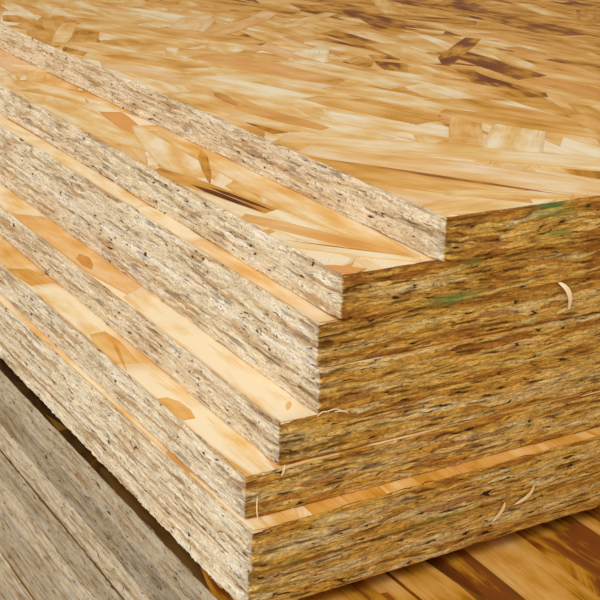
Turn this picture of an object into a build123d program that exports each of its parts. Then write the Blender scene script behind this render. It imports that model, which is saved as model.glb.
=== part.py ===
"""A pile of square-edged oriented strand boards, lying flat in two packs.

Millimetres, +Z up. X runs along the boards and Y across them. The origin is on the floor, under
the middle of the lower pack. The near corner of a board is the one at +X and -Y.
"""

import os
from math import cos, radians, sin

from build123d import *

# One board, sawn square on all four edges.
BOARD_LENGTH = 2440.0
BOARD_WIDTH = 1220.0
BOARD_THICKNESS = 18.0
CORNER_WEAR = 1.2  # radius that handling has rubbed onto the upright corners

# The lower pack stands as it left the press, each board only jogged a little out of line.
LOWER_COUNT = 12
LOWER_JOG_END = 1.4
LOWER_JOG_SIDE = 0.9

# Thin sawn strips lie across the lower pack and hold the upper one clear of it.
STRIP_THICKNESS = 6.0
STRIP_WIDTH = 38.0
STRIP_LENGTH = 1180.0
STRIP_COUNT = 3
STRIP_FROM_END = 440.0  # from the lower boards' end to the middle of the outermost strip
STRIP_FROM_SIDE = 30.0  # from the lower boards' near side to the strips' near ends

# The upper boards, top one first: how far the near corner stands in from the lower pack's end, how
# far in from its side, and how many degrees the board is turned about that corner.
UPPER_PLACES = [
    (84.6, 86.3, -0.92),
    (89.2, 43.9, -0.90),
    (90.6, 35.1, -0.53),
    (88.6, 35.1, -0.46),
    (89.1, 18.5, -0.50),
    (87.1, 3.4, -0.23),
    (78.4, 1.7, 0.37),
    (79.7, 1.1, 0.00),
]

# Chips where strands broke away from an arris. A chip is a shallow scallop, as if bitten out by the
# rim of a large disc held at 45 degrees to both faces.
CHIP_LENGTH_SHORT = 14.0
CHIP_LENGTH_LONG = 34.0
CHIP_DEPTH_SHALLOW = 0.7
CHIP_DEPTH_DEEP = 1.9
CHIPS_PER_SIDE = 5
CHIPS_PER_END = 3
TORN_LENGTH = 720.0  # the lowest upper board's under arris is torn this far along its side
TORN_PITCH = 26.0
CRUSHED_LENGTH = 15.0  # the chip at the second board's near corner
CRUSHED_DEPTH = 1.3

GOLDEN = 0.618034  # spreads a run of places evenly without a visible pattern


def spread(number, low, high):
    """A value between low and high that looks unordered from one number to the next."""
    return low + (high - low) * ((number * GOLDEN) % 1.0)


def chip(place, along, inward, length, depth):
    """The disc whose rim bites a scallop of this length and depth out of an arris."""
    radius = (length / 2) ** 2 / (2 * depth) + depth / 2
    centre = place - inward * (radius - depth)
    disc = Cylinder(radius, 4 * depth)
    return Plane(origin=centre, x_dir=along, z_dir=along.cross(inward)) * disc


def side_chip(distance, top, length, depth):
    """A chip on the near side, this far from the near corner, on the top or the under arris."""
    inward = Vector(0, 1, -1 if top else 1).normalized()
    place = Vector(-distance, 0, BOARD_THICKNESS if top else 0)
    return chip(place, Vector(1, 0, 0), inward, length, depth)


def end_chip(distance, top, length, depth):
    """A chip on the near end, this far from the near corner, on the top or the under arris."""
    inward = Vector(-1, 0, -1 if top else 1).normalized()
    place = Vector(0, distance, BOARD_THICKNESS if top else 0)
    return chip(place, Vector(0, 1, 0), inward, length, depth)


def stray_chips(number):
    """The few chips that any board picks up, in places that differ from board to board."""
    chips = []
    for step in range(CHIPS_PER_SIDE + CHIPS_PER_END):
        seed = number * 7 + step * 3 + 1
        top = seed % 2 == 0
        length = spread(seed, CHIP_LENGTH_SHORT, CHIP_LENGTH_LONG)
        depth = spread(seed + 5, CHIP_DEPTH_SHALLOW, CHIP_DEPTH_DEEP)
        if step < CHIPS_PER_SIDE:
            reach = BOARD_LENGTH / CHIPS_PER_SIDE
            chips.append(side_chip(reach * step + spread(seed, 0.1, 0.9) * reach, top, length, depth))
        else:
            reach = BOARD_WIDTH / CHIPS_PER_END
            first = step - CHIPS_PER_SIDE
            chips.append(end_chip(reach * first + spread(seed, 0.1, 0.9) * reach, top, length, depth))
    return chips


def torn_arris():
    """Chips that follow one another along the near side's under arris."""
    chips = []
    for step in range(int(TORN_LENGTH / TORN_PITCH)):
        distance = TORN_PITCH * (step + spread(step, 0.3, 0.7))
        length = spread(step + 2, CHIP_LENGTH_SHORT, TORN_PITCH)
        depth = spread(step * 2, CHIP_DEPTH_SHALLOW, CHIP_DEPTH_DEEP)
        chips.append(side_chip(distance, False, length, depth))
    return chips


def crushed_corner():
    """The chip that starts at the near corner itself, on the side's top arris."""
    return [side_chip(CRUSHED_LENGTH * 0.4, True, CRUSHED_LENGTH, CRUSHED_DEPTH)]


def board(chips):
    """A board with its near corner at the origin, running back along -X and away along +Y."""
    blank = Box(BOARD_LENGTH, BOARD_WIDTH, BOARD_THICKNESS, align=(Align.MAX, Align.MIN, Align.MIN))
    blank = fillet(blank.edges().filter_by(Axis.Z), CORNER_WEAR)
    return blank - chips


def lay(piece, from_end, from_side, height, turn):
    """Turns a board about its near corner and lays it at that height."""
    corner = (BOARD_LENGTH / 2 - from_end, -BOARD_WIDTH / 2 + from_side, height)
    return Pos(*corner) * Rot(0, 0, turn) * piece


def lower_pack():
    """The squared pack at the bottom, numbered from the floor up."""
    boards = {}
    for number in range(1, LOWER_COUNT + 1):
        from_end = LOWER_JOG_END * sin(radians(137 * (LOWER_COUNT - number)))
        from_side = LOWER_JOG_SIDE * (1 - cos(radians(97 * (LOWER_COUNT - number))))
        height = BOARD_THICKNESS * (number - 1)
        piece = board(stray_chips(number))
        boards[f"lower_board_{number:02d}"] = lay(piece, from_end, from_side, height, 0)
    return boards


def strips():
    """The strips between the packs, spread evenly from one end of the boards to the other."""
    laid = {}
    reach = BOARD_LENGTH / 2 - STRIP_FROM_END
    near_end = -BOARD_WIDTH / 2 + STRIP_FROM_SIDE
    for number in range(1, STRIP_COUNT + 1):
        x = reach * (2 * (number - 1) / (STRIP_COUNT - 1) - 1)
        strip = Box(STRIP_WIDTH, STRIP_LENGTH, STRIP_THICKNESS, align=(Align.CENTER, Align.MIN, Align.MIN))
        laid[f"spacer_strip_{number}"] = Pos(x, near_end, BOARD_THICKNESS * LOWER_COUNT) * strip
    return laid


def upper_pack():
    """The boards laid by hand on the strips, numbered from the lowest up."""
    boards = {}
    count = len(UPPER_PLACES)
    base = BOARD_THICKNESS * LOWER_COUNT + STRIP_THICKNESS
    for level, (from_end, from_side, turn) in enumerate(reversed(UPPER_PLACES)):
        chips = stray_chips(LOWER_COUNT + level + 1)
        if level == 0:
            chips += torn_arris()
        if level == count - 2:
            chips += crushed_corner()
        height = base + BOARD_THICKNESS * level
        boards[f"upper_board_{level + 1}"] = lay(board(chips), from_end, from_side, height, turn)
    return boards


os.makedirs("parts", exist_ok=True)
for name, solid in {**lower_pack(), **strips(), **upper_pack()}.items():
    export_step(solid, f"parts/{name}.step")
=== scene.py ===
"""A pile of oriented strand boards, dressed round its fixed frame.

Metres, in the frame's axes: X along the boards, Y across them, Z up from the floor. Each board is one
mesh in place of its plain solid: a sawn edge all round, and pressed faces laid with single strands
wherever they show. A place on a board is given from its near corner, the one at +X and -Y: "back"
along the side, "across" the face and "up" from the underside, in millimetres.
"""

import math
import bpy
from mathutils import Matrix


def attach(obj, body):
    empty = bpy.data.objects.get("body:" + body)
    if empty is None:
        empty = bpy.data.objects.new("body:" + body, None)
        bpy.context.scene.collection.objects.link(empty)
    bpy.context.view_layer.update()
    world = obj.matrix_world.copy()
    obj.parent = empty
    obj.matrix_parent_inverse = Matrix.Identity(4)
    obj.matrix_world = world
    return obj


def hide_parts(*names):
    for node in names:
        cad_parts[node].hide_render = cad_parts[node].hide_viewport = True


bl_info = {
    "name": "Oriented strand board pile",
    "version": (1, 0, 0),
    "blender": (4, 5, 0),
    "location": "View3D > Sidebar > Board pile",
    "description": "Dresses a pile of oriented strand boards with sawn edges and pressed strands",
    "category": "Add Mesh",
}

from functools import partial

import bpy
import numpy as np
from mathutils import Matrix

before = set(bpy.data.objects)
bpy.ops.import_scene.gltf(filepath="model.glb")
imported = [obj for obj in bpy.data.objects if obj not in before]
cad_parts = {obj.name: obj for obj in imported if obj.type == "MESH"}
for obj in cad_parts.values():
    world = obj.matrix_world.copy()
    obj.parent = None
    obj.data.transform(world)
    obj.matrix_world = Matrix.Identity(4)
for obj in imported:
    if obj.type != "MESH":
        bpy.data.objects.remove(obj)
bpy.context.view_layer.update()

MM = 0.001
BODY = "root"
LOWER_BOARDS = sorted(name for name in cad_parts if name.startswith("lower_board"))
UPPER_BOARDS = sorted(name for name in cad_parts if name.startswith("upper_board"))
STRIPS = sorted(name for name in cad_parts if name.startswith("spacer_strip"))
SAWN, PRESSED = 0, 1  # the material slots of a board
LOWER_SEED, UPPER_SEED, SEED_STEP, STRAND_SEED = 100, 2000, 50, 500  # where the random numbers start

# Lengths in millimetres, and shares.
CORNER_WEAR = 1.2  # radius that handling has rubbed onto the upright corners
FAR_STEP = 30.0  # between points along the two far edges
FINE_GRID = (0.5, 0.010, 36)  # the first step from the near corner, the steps' growth, and the rows up the edge
PLAIN_GRID = (1.2, 0.014, 9)
WHOLLY_SUNK = 0.9  # a point of the edge that lies this deep is shaded most
SLAB_DEPTH = 0.75  # how far a strand's underside lies under the face
STATIONS = (-1.0, -0.45, 0.4, 1.0)  # along a strand, as shares of half its length
LOOSE_SHARE = 0.55  # strands laid loosely on top for each one laid in bond


def linear(hex_colour):
    """An sRGB hex colour as linear RGBA."""
    parts = [int(hex_colour[i : i + 2], 16) / 255 for i in (0, 2, 4)]
    return tuple(p / 12.92 if p <= 0.04045 else ((p + 0.055) / 1.055) ** 2.4 for p in parts) + (1.0,)


def colour_setting(name, description, hex_colour):
    """A colour that the user can change."""
    return bpy.props.FloatVectorProperty(
        name=name, description=description, subtype="COLOR", size=4, min=0.0, max=1.0, default=linear(hex_colour)
    )


def length_setting(name, description, millimetres):
    """A length that the user can change."""
    return bpy.props.FloatProperty(
        name=name, description=description, default=millimetres * MM, min=0.00001, unit="LENGTH", precision=5
    )


class PressedFaceSettings(bpy.types.PropertyGroup):
    """Sizes and colours of the strands pressed into a face."""

    strand_length: length_setting("Strand length", "Length of a common strand", 112)
    strand_width: length_setting("Strand width", "Width of a common strand", 25)
    step_height: length_setting("Step height", "How far the lowest strand lies under the highest", 0.42)
    knot: colour_setting("Knot", "Wood stained almost black", "46280C")
    heartwood: colour_setting("Heartwood", "Rare red-brown strands", "7C3C06")
    amber: colour_setting("Amber", "Resin-rich strands", "C08418")
    golden: colour_setting("Golden", "Common darker strands", "DDA350")
    straw: colour_setting("Straw", "Most strands", "EAC07B")
    cream: colour_setting("Cream", "Pale sapwood strands", "F5E3C0")
    peach: colour_setting("Peach", "Warm blush on some strands", "E2A05C")
    bark: colour_setting("Bark", "Thin lines and specks of bark", "5E3A1C")
    # Painted shade: the dark colour that the lower pack's top is mixed towards, a little all over and most in the
    # slit under the upper pack.
    slit_shade: colour_setting("Dirt", "Dust and damp in the slit between the packs", "2B1D0A")


class SawnEdgeSettings(bpy.types.PropertyGroup):
    """Sizes and colours of the sawn edges."""

    layer: length_setting("Layer", "Thickness of one strand, drawn twice the real one to show", 1.45)
    side_white: colour_setting("Side, white", "Fresh sapwood", "E9DDCC")
    side_pale: colour_setting("Side, pale", "Strands cut along the grain", "E4D3B4")
    side_mid: colour_setting("Side, middle", "Strands cut at a slant", "D4BE9C")
    side_dark: colour_setting("Side, dark", "Darker wood", "BE9C74")
    # The end colours are darker and warmer than the side colours, partly for the end grain and partly as painted
    # shade for the shade that the near end lies in.
    end_grey: colour_setting("End, grey", "Long strands in the core", "D2B67E")
    end_pale: colour_setting("End, pale", "Straw-coloured end grain", "D0A85A")
    end_mid: colour_setting("End, middle", "Ochre end grain", "C9993F")
    end_dark: colour_setting("End, dark", "Dense end grain", "B37F2C")
    end_rust: colour_setting("End, rust", "Red-brown heartwood", "9A5E1C")
    end_orange: colour_setting("End, orange", "Resin-rich end grain", "C99038")
    speck: colour_setting("Speck", "Crushed bark and dust in the pores", "6E430C")
    seam: colour_setting("Seam", "Shaded line between layers", "5E3408")
    void: colour_setting("Void", "Gaps between strands", "3C1D04")
    # Multiplied over the sides of the lower pack, more on some boards than on others.
    grime: colour_setting("Grime", "What dust takes off the colour", "8C8478")
    paint: colour_setting("Paint", "Traces of green marking paint", "3E7A3C")


class StageSettings(bpy.types.PropertyGroup):
    """The floor and the light."""

    floor: colour_setting("Floor", "Plain pale floor", "EFEDE8")
    key_power: bpy.props.FloatProperty(
        name="Key light", description="Power of the large soft light", default=44.0, subtype="POWER"
    )
    sky: bpy.props.FloatProperty(name="Sky", description="Strength of the even light from all round", default=0.42)
    fill_power: bpy.props.FloatProperty(
        name="Fill light", description="Power of the warm light on the ends", default=2.3, subtype="POWER"
    )


def add_node(tree, kind, *values, sockets=None, stops=None, **settings):
    """Adds a shader node, sets its properties and its colour stops, and links or sets its inputs: the first ones
    in their order, the others by name or number."""
    node = tree.nodes.new("ShaderNode" + kind)
    for name, value in settings.items():
        setattr(node, name, value)
    if stops:
        while len(node.color_ramp.elements) < len(stops):
            node.color_ramp.elements.new(0.5)
        for element, (position, colour) in zip(node.color_ramp.elements, stops):
            element.position = position
            element.color = colour
    for key, value in {**dict(enumerate(values)), **(sockets or {})}.items():
        if isinstance(value, bpy.types.Node):
            value = next(output for output in value.outputs if output.enabled)
        if isinstance(value, bpy.types.NodeSocket):
            tree.links.new(value, node.inputs[key])
        else:
            node.inputs[key].default_value = value
    return node


def new_material(name):
    """An empty node material, and add_node for its tree."""
    material = bpy.data.materials.new(name)
    material.use_nodes = True
    material.node_tree.nodes.clear()
    return material, partial(add_node, material.node_tree)


def pressed_face_material(look):
    """Aspen strands, sliced, waxed, glued and hot-pressed flat: a satin face, each strand with its own tone and
    grain."""
    material, add = new_material("pressed_strand_face")
    tone, blush, grime, place = (
        add("Attribute", attribute_name=name).outputs["Vector" if name == "place" else "Fac"]
        for name in ("tone", "blush", "grime", "place")
    )
    mm = add("VectorMath", add("UVMap", uv_map="grain"), (1 / MM, 1 / MM, 0), operation="MULTIPLY")

    # Patterns as millimetres along the strand, millimetres across it and octaves: growth rings, 3 to 8 mm apart;
    # fibres, which lie 0.4 mm apart and are drawn at 0.8 mm to show; stains and pressing marks, a few centimetres
    # long; bark lines and resin streaks, about a millimetre wide.
    patterns = []
    for along, across, detail in ((95, 5.5, 2), (26, 0.8, 3), (34, 15, 3), (34, 1.1, 1)):
        at = add("VectorMath", mm, (1 / along, 1 / across, 0), operation="MULTIPLY")
        patterns.append(add("TexNoise", sockets={"Vector": at, "Scale": 1, "Detail": detail}, noise_dimensions="2D"))
    rings, fibres, stains, lines = patterns

    shift = -0.855
    for pattern, share in ((stains, 1.05), (rings, 0.30), (fibres, 0.36)):
        shift = add("Math", pattern, share, shift, operation="MULTIPLY_ADD")
    shade = add("Math", tone, shift, operation="ADD")
    colour = add(
        "ValToRGB",
        shade,
        stops=[(0.0, look.heartwood), (0.16, look.amber), (0.42, look.golden), (0.68, look.straw), (1.0, look.cream)],
    )
    knotty = add("MapRange", shade, -0.42, -0.10, 0.9, 0)
    streaked = add("MapRange", lines, 0.76, 0.84, 0, 0.5)

    # A strand's rim is a little darker, where resin and dust gather in the step.
    sides = add("SeparateXYZ", place)
    across, along = (add("Math", sides.outputs[number], operation="ABSOLUTE") for number in (0, 1))
    outermost = add("Math", across, along, operation="MAXIMUM")
    rim = add("MapRange", outermost, 0.80, 1, 0, 0.55, interpolation_type="SMOOTHSTEP")
    resinous = add("Math", rim, stains, operation="MULTIPLY")
    # The last share is painted shade on the lower pack's top, a little all over and most in the slit under the upper
    # pack.
    shares = (knotty, blush, streaked, resinous, grime)
    for share, over in zip(shares, (look.knot, look.peach, look.bark, look.amber, look.slit_shade)):
        colour = add("Mix", share, sockets={6: colour, 7: over}, data_type="RGBA")

    relief = add("Math", fibres, rings, operation="ADD")
    bump = add("Bump", sockets={"Strength": 0.25, "Distance": 0.0002, "Height": relief})
    gloss = add("MapRange", fibres, 0.3, 0.7, 0.50, 0.68)
    sockets = {"Base Color": colour, "Roughness": gloss, "Normal": bump, "Specular IOR Level": 0.14}
    add("OutputMaterial", add("BsdfPrincipled", sockets=sockets))
    return material


def sawn_edge_material(look):
    """The same board sawn through: thin bent layers of strands with gaps, dry and matt. Cut along the grain they
    are pale and short-fibred, and on the ends brown, dense and torn."""
    material, add = new_material("sawn_strand_edge")
    end_cut, paint, grime, tone, sunk, place = (
        add("Attribute", attribute_name=name).outputs["Vector" if name == "place" else "Fac"]
        for name in ("end_cut", "paint", "grime", "tone", "sunk", "place")
    )
    mm = add("VectorMath", add("UVMap", uv_map="grain"), (1 / MM, 1 / MM, 0), operation="MULTIPLY")

    # Patterns as millimetres along the edge, millimetres up it and octaves: the slow and the quick bends that
    # pressing gives the layers, about 1 mm and 0.5 mm up and down; crumbs of torn fibre about a millimetre across.
    patterns = []
    for along, up, detail in ((45, 11, 1), (8, 2.2, 3), (1.6, 0.8, 3)):
        at = add("VectorMath", mm, (1 / along, 1 / up, 0), operation="MULTIPLY")
        patterns.append(add("TexNoise", sockets={"Vector": at, "Scale": 1, "Detail": detail}, noise_dimensions="2D"))
    slow, quick, crumbs = patterns
    slow_up = add("Math", slow, 4.6, operation="MULTIPLY")
    bend_up = add("Math", quick, 2.4, slow_up, operation="MULTIPLY_ADD")
    laid = add("VectorMath", mm, add("CombineXYZ", 0, bend_up), operation="ADD")

    # Patterns that bend with the layers: bands of like wood, 3 mm thick and 30 to 90 mm long; fibres, which are
    # finer than can show and are drawn 0.4 mm thick and 4 mm long; specks of crushed bark and pores, 2 mm long,
    # and the swarms that they lie in, 15 mm long.
    patterns = []
    for along, up, detail, roughness in ((48, 3, 2, 0.5), (4, 0.4, 4, 0.6), (1.9, 0.75, 3, 0.5), (15, 4, 2, 0.5)):
        at = add("VectorMath", laid, (1 / along, 1 / up, 0), operation="MULTIPLY")
        sockets = {"Vector": at, "Scale": 1, "Detail": detail, "Roughness": roughness}
        patterns.append(add("TexNoise", sockets=sockets, noise_dimensions="2D"))
    bands, fibres, specks, swarms = patterns

    # A strand sawn through shows as a lens about 16 mm long and one layer thick, each with its own colour.
    lens_at = add("VectorMath", laid, (1 / 16, 1 / (look.layer / MM), 0), operation="MULTIPLY")
    lens, to_rim = (
        add("TexVoronoi", sockets={"Vector": lens_at, "Scale": 1}, voronoi_dimensions="2D", feature=feature)
        for feature in ("F1", "DISTANCE_TO_EDGE")
    )
    own = add("SeparateColor", lens.outputs["Color"]).outputs

    # What differs between the sides, given first, and the ends.
    core_turn, shade_depth, hollow_shade_depth, seam_depth, strength = (
        add("MapRange", end_cut, 0, 1, on_side, on_end)
        for on_side, on_end in ((-0.10, 0.22), (0.72, 1.45), (0.42, 1), (0.36, 1), (0.55, 0.65))
    )

    # The strands of the core lie the other way: on the ends it shows long pale fibres, on the sides end grain.
    off_middle = add("Math", add("SeparateXYZ", place).outputs[2], 0.5, operation="SUBTRACT")
    from_middle = add("Math", off_middle, operation="ABSOLUTE")
    core = add("MapRange", from_middle, 0.14, 0.30, 1, 0)
    picked = add("Math", core, core_turn, operation="MULTIPLY")
    for value, share in ((own[0], 0.52), (bands, 1.5), (1, -0.98), (tone, 0.9)):
        picked = add("Math", value, share, picked, operation="MULTIPLY_ADD")
    side = add(
        "ValToRGB",
        picked,
        stops=[(0.0, look.side_dark), (0.2, look.side_mid), (0.52, look.side_pale), (0.9, look.side_white)],
    )
    end = add(
        "ValToRGB",
        picked,
        stops=[
            (0.02, look.end_rust),
            (0.20, look.end_dark),
            (0.40, look.end_mid),
            (0.62, look.end_pale),
            (0.88, look.end_grey),
        ],
    )
    # Here and there a strand on the ends is full of resin and shows orange, or is heartwood and shows rust.
    heart = add("MapRange", own[2], 0.04, 0.12, 0.8, 0)
    resin = add("MapRange", own[2], 0.78, 0.90, 0, 0.6)
    for share, over in ((heart, look.end_rust), (resin, look.end_orange)):
        end = add("Mix", share, sockets={6: end, 7: over}, data_type="RGBA")
    # The ends take the end colours, which are partly the end grain's own and partly painted shade.
    wood = add("Mix", end_cut, sockets={6: side, 7: end}, data_type="RGBA")

    # Fibres and crumbs shade the colour, more on the ends than on the sides.
    shade_sum = add("Math", crumbs, 0.6, fibres, operation="MULTIPLY_ADD")
    shade_centred = add("Math", shade_sum, 0.79, operation="SUBTRACT")
    shade = add("Math", shade_centred, shade_depth, 1, operation="MULTIPLY_ADD")
    shade_kept = add("Math", shade, 0.3, operation="MAXIMUM")
    # Painted light and shade from the relief: where the edge stands proud it is lightened, where it lies sunk it is
    # darkened, and the deepest places are mixed towards the seam colour.
    relief_light = add("MapRange", sunk, 0.1, 0.6, 1.2, 0.85)
    shade_and_relief_light = add("Math", shade_kept, relief_light, operation="MULTIPLY")
    colour = add("VectorMath", wood, sockets={"Scale": shade_and_relief_light}, operation="SCALE")
    hollow_shade = add("MapRange", sunk, 0.4, 1, 0, 0.75)

    # Lenses are parted by thin shaded seams, and here and there a gap opens in one: flat, dark, up to 0.6 mm
    # high and 5 to 12 mm long.
    gap_at = add("VectorMath", laid, (1 / 9, 1 / 1.4, 0), operation="MULTIPLY")
    gap_noise = add("TexNoise", sockets={"Vector": gap_at, "W": 9, "Scale": 1, "Detail": 2}, noise_dimensions="4D")
    opened = add("MapRange", gap_noise, 0.56, 0.72, 0, 0.24)
    gap_room = add("Math", opened, to_rim, operation="SUBTRACT")
    gap = add("MapRange", gap_room, 0.02, 0.07)
    seam_width = add("MapRange", gap_noise, 0.35, 0.65, 0.08, 0.45)
    seam_room = add("Math", to_rim, seam_width, operation="DIVIDE")
    seam_line = add("MapRange", seam_room, 0, 1, 0.42, 0)
    inside = add("Mix", end_cut, sockets={6: look.seam, 7: look.void}, data_type="RGBA")

    speck_mask = add("MapRange", specks, 0.56, 0.72, 0, 0.8)
    swarm_mask = add("MapRange", swarms, 0.44, 0.60)
    # Paint from marking the pile has soaked in unevenly.
    paint_break = add("MapRange", crumbs, 0.28, 0.48)
    for mask, amount, over, blend in (
        (hollow_shade, hollow_shade_depth, look.seam, "MIX"),
        (seam_line, seam_depth, look.seam, "MIX"),
        (gap, 1, inside, "MIX"),
        (speck_mask, swarm_mask, look.speck, "MIX"),
        (paint, paint_break, look.paint, "MIX"),
        (grime, 0.8, look.grime, "MULTIPLY"),
    ):
        share = add("Math", mask, amount, operation="MULTIPLY")
        colour = add("Mix", share, sockets={6: colour, 7: over}, data_type="RGBA", blend_type=blend)

    # Relief in millimetres: strands sawn proud or deep, fibres, crumbs, seams and gaps.
    relief = 0
    for pattern, height in ((own[1], 0.35), (fibres, 0.5), (crumbs, 0.6), (seam_line, -0.35), (gap, -0.6)):
        relief = add("Math", pattern, height, relief, operation="MULTIPLY_ADD")
    bump = add("Bump", sockets={"Strength": strength, "Distance": MM, "Height": relief})
    sockets = {"Base Color": colour, "Roughness": 0.9, "Normal": bump, "Specular IOR Level": 0.25}
    add("OutputMaterial", add("BsdfPrincipled", sockets=sockets))
    return material


def sawn_softwood_material():
    """Thin sawn spruce strips: pale, dry and matt, with grain lines along them."""
    material, add = new_material("sawn_softwood_strip")
    at = add("VectorMath", add("TexCoord").outputs["Object"], (250, 9, 250), operation="MULTIPLY")
    grain = add("TexNoise", sockets={"Vector": at, "Scale": 1, "Detail": 4})
    wood = add("ValToRGB", grain, stops=[(0.3, linear("B58A56")), (0.7, linear("DCC094"))])
    bump = add("Bump", sockets={"Strength": 0.3, "Distance": 0.0003, "Height": grain})
    add("OutputMaterial", add("BsdfPrincipled", sockets={"Base Color": wood, "Roughness": 0.8, "Normal": bump}))
    return material


def floor_material(look):
    """A plain matt floor."""
    material, add = new_material("plain_matt_floor")
    add("OutputMaterial", add("BsdfPrincipled", sockets={"Base Color": look.floor, "Roughness": 0.9}))
    return material


def board_place(node):
    """Where a board lies: its near corner, its turn and its length, width, thickness and lowest level.

    Of many turns, the right one is that at which the box round its points has the smallest floor area.
    """
    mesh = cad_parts[node].data
    points = np.zeros(len(mesh.vertices) * 3, np.float32)
    mesh.vertices.foreach_get("co", points)
    x, y, z = points.reshape(-1, 3).astype(float).T
    largest_turn, tries = 2.0, 4001
    turns = np.radians(np.linspace(-largest_turn, largest_turn, tries))
    cos, sin = np.cos(turns)[:, None], np.sin(turns)[:, None]
    along = cos * x + sin * y
    aside = cos * y - sin * x
    areas = np.ptp(along, axis=1) * np.ptp(aside, axis=1)
    best = areas.argmin()
    turn = turns[best]
    far, near = along[best].max(), aside[best].min()
    corner = (far * math.cos(turn) - near * math.sin(turn), far * math.sin(turn) + near * math.cos(turn))
    return {
        "corner": corner,
        "turn": turn,
        "length": np.ptp(along[best]) / MM,
        "width": np.ptp(aside[best]) / MM,
        "thickness": np.ptp(z) / MM,
        "low": z.min(),
    }


def to_frame(place, back, across, up):
    """Points on a board, in millimetres from its near corner, as points in the frame: turned about that corner."""
    cos, sin = math.cos(place["turn"]), math.sin(place["turn"])
    x = place["corner"][0] + (-back * cos - across * sin) * MM
    y = place["corner"][1] + (-back * sin + across * cos) * MM
    return np.stack([x, y, place["low"] + up * MM], axis=-1)


def from_frame(place, points):
    """Back and across, in millimetres from a board's near corner, of points in the frame."""
    cos, sin = math.cos(place["turn"]), math.sin(place["turn"])
    x = (points[..., 0] - place["corner"][0]) / MM
    y = (points[..., 1] - place["corner"][1]) / MM
    return -(x * cos + y * sin), y * cos - x * sin


def lattice_noise(u, v, seed):
    """Values from -1 to 1: random ones at whole numbers of u and v, eased in between by 3t squared less 2t cubed."""
    columns, rows = 257, 61
    table = np.random.RandomState(seed).uniform(-1, 1, (columns, rows))
    u, v = np.broadcast_arrays(u, v)
    column, row = np.floor(u).astype(int), np.floor(v).astype(int)
    s, t = u - column, v - row
    s, t = s * s * (3 - 2 * s), t * t * (3 - 2 * t)
    left, right = (
        table[place % columns, row % rows] * (1 - t) + table[place % columns, (row + 1) % rows] * t
        for place in (column, column + 1)
    )
    return left * (1 - s) + right * s


def graded(start, end, first, growth):
    """Distances from start to end whose steps begin at first and grow by that share of the distance gone."""
    count = int(math.ceil(math.log(1 + growth * (end - start) / first) / growth))
    run = np.expm1(growth * np.arange(count + 1))
    return start + (end - start) * run / run[-1]


def outline(place, first, growth):
    """The board's outline from the far end of the near side, round by the near corner: points, outward
    directions, distance gone round and the local step. The upright corners are rounded."""
    length, width = place["length"], place["width"]
    far_back, far_across = length - CORNER_WEAR, width - CORNER_WEAR
    arc = np.radians(np.linspace(0, 90, 6))[1:-1]
    sin, cos = np.sin(arc), np.cos(arc)

    def rows(back, across, out_back, out_across):
        return np.stack(np.broadcast_arrays(back, across, out_back, out_across), axis=1)

    def corner(back, across, out_back, out_across):
        return rows(back + out_back * CORNER_WEAR, across + out_across * CORNER_WEAR, out_back, out_across)

    ring = np.concatenate(
        [
            rows(graded(CORNER_WEAR, far_back, first, growth)[::-1], 0.0, 0.0, -1.0),
            corner(CORNER_WEAR, CORNER_WEAR, -sin, -cos),
            rows(0.0, graded(CORNER_WEAR, far_across, first, growth), -1.0, 0.0),
            corner(CORNER_WEAR, far_across, -cos, sin),
            rows(np.linspace(CORNER_WEAR, far_back, int(length / FAR_STEP)), width, 0.0, 1.0),
            corner(far_back, far_across, sin, cos),
            rows(length, np.linspace(far_across, CORNER_WEAR, int(width / FAR_STEP)), 1.0, 0.0),
            corner(far_back, CORNER_WEAR, cos, -sin),
        ]
    )
    steps = np.linalg.norm(np.roll(ring[:, :2], -1, axis=0) - ring[:, :2], axis=1)
    gone = np.concatenate([[0.0], np.cumsum(steps)[:-1]])
    return ring[:, :2], ring[:, 2:], gone, steps


def arris_chips(gone, seed, strength):
    """How deep the arris is broken away along the outline: the part of a slow and a fast noise above a level."""
    slow_length, fast_length = 23.0, 3.1
    slow = lattice_noise(gone / slow_length, 0.0, seed)
    fast = lattice_noise(gone / fast_length, 0.5, seed + 1)
    return 0.2 + strength * (np.clip(slow - 0.4, 0, 1) * 2.4 + 0.7 * np.clip(fast, 0, 1))


def edge_depth(gone, up, steps, seed, from_corner):
    """How far the sawn edge lies inside the outline: bent layers, each a row of strands sawn a little proud or
    deep or torn right out, with a fine roughness. It grows towards the near corner, where handling breaks
    strands off, and fades where the grid gets too coarse to show it."""
    row_height, strand_length = 1.15, 13.0
    bent = up + 1.4 * lattice_noise(gone / 38.0, up / 9.0, seed) + 0.5 * lattice_noise(gone / 9.0, up / 3.0, seed + 4)
    level = bent / row_height
    row = np.floor(level).astype(int)
    starts = np.random.RandomState(seed + 1).uniform(0, 50, 101)[row % 101]
    run = gone / strand_length + starts + 0.25 * lattice_noise(gone / 4.0, up / 2.0, seed + 5)
    cell = np.floor(run).astype(int)
    strand = np.random.RandomState(seed + 2).uniform(0, 1, (211, 101))[cell % 211, row % 101]
    lens = np.sin(np.pi * (run - cell)) * np.sin(np.pi * (level - row))
    torn_out = np.clip((strand - 0.85) / 0.15, 0, 1) * lens
    rough = lattice_noise(gone / 1.7, up / 0.8, seed + 3)
    depth = 0.05 + 0.34 * strand * np.sqrt(lens) + 0.13 * (1 + rough) + 0.9 * torn_out
    return depth * (1 + 1.1 * np.exp(-from_corner / 7.0)) * np.clip(3.0 / steps, 0.15, 1.0)


def corner_loss(up, from_corner, thickness, seed):
    """How far handling has broken each layer back at the near upright corner, in along both faces alike: a noise
    that changes every millimetre of height, fading over 4 mm from the corner and towards the top face."""
    noise = lattice_noise(up / 1.1, 0.0, seed + 6)
    under_top = np.clip(thickness - 0.4 - up, 0, 1)
    return 1.3 * np.clip(0.40 + 0.85 * noise, 0, 1) * under_top * np.exp(-((from_corner / 4.0) ** 2))


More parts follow.
